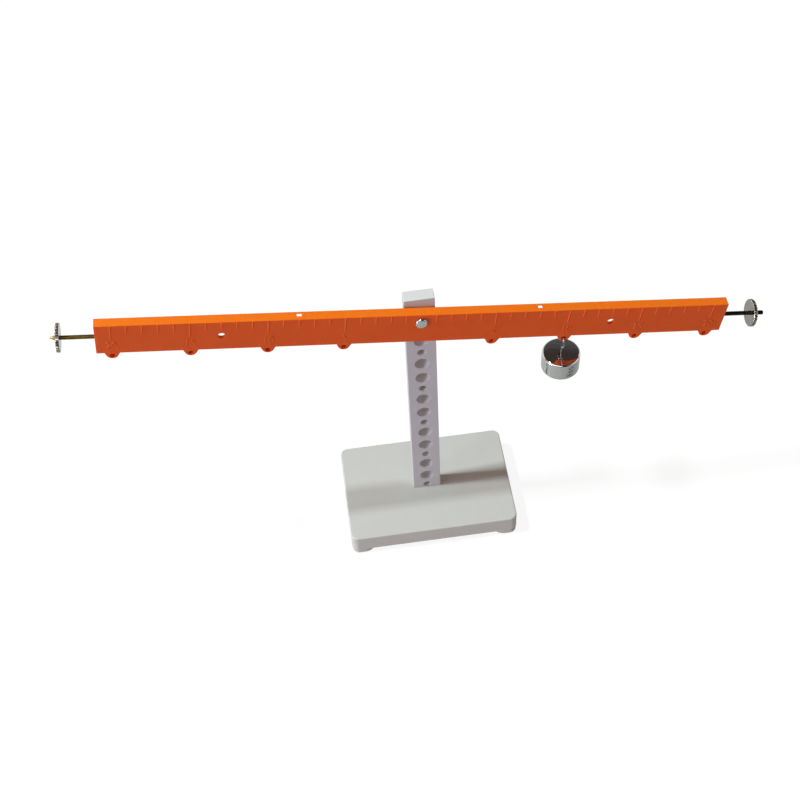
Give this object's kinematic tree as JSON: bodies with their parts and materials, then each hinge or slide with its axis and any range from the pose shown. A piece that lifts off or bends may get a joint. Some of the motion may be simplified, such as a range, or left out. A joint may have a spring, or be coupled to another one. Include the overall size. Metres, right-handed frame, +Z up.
{
  "type": "demonstration lever",
  "caption": "Graduated orange channel beam on a pivot pin through a drilled column and moulded base, with screw-on balance nuts and a hooked weight hung from a lug.",
  "frame": {"origin": "on the table surface, under the middle of the base's footprint", "axes": "+Z up, +X along the beam towards the arm that carries the weight, +Y from the beam to the column"},
  "size_m": [0.4731, 0.086, 0.2516],
  "materials": {
    "base_abs": "moulded, fine matt",
    "column_abs": "moulded, fine matt",
    "beam_orange": "moulded, satin",
    "spacer_nylon": "moulded, matt",
    "bright_steel": "nickel plated, polished",
    "zinc_screw": "zinc plated",
    "yellow_zinc": "yellow passivated thread",
    "dark_steel": "black oxide thread",
    "nut_nickel": "nickel plated, grooved rim",
    "weight_chrome": "chrome plated, turned and polished"
  },
  "bodies": {
    "stand": {"base_shell": "base_abs", "column": "column_abs", "column_screws": "zinc_screw", "column_screw_washers": "zinc_screw", "pivot_pin": "bright_steel", "pivot_spacer": "spacer_nylon", "pivot_rear_washer": "zinc_screw", "pivot_nut": "zinc_screw"},
    "lever": {"lever_beam": "beam_orange", "left_balance_stud": "yellow_zinc", "right_balance_stud": "dark_steel"},
    "left_nut": {"left_balance_nut": "nut_nickel"},
    "right_nut": {"right_balance_nut": "nut_nickel"},
    "weight": {"weight_body": "weight_chrome", "weight_hook": "bright_steel", "weight_cross_pin": "bright_steel"}
  },
  "joints": [
    {"name": "lever_tilt", "type": "hinge", "parent": "stand", "child": "lever", "pos_m": [0, -0.007, 0.2172], "axis": [0, 1, 0], "range_deg": [-57.5, 42.5]},
    {"name": "weight_swing", "type": "hinge", "parent": "lever", "child": "weight", "pos_m": [0.09642, -0.007, 0.18343], "axis": [0, 1, 0], "range_deg": [-42.5, 57.5]},
    {"name": "left_nut_travel", "type": "slide", "parent": "lever", "child": "left_nut", "axis": [-0.9914, 0, 0.1305], "range_m": [-0.0213, 0.0009]},
    {"name": "right_nut_travel", "type": "slide", "parent": "lever", "child": "right_nut", "axis": [0.9914, 0, -0.1305], "range_m": [-0.0189, 0.0069]}
  ]
}
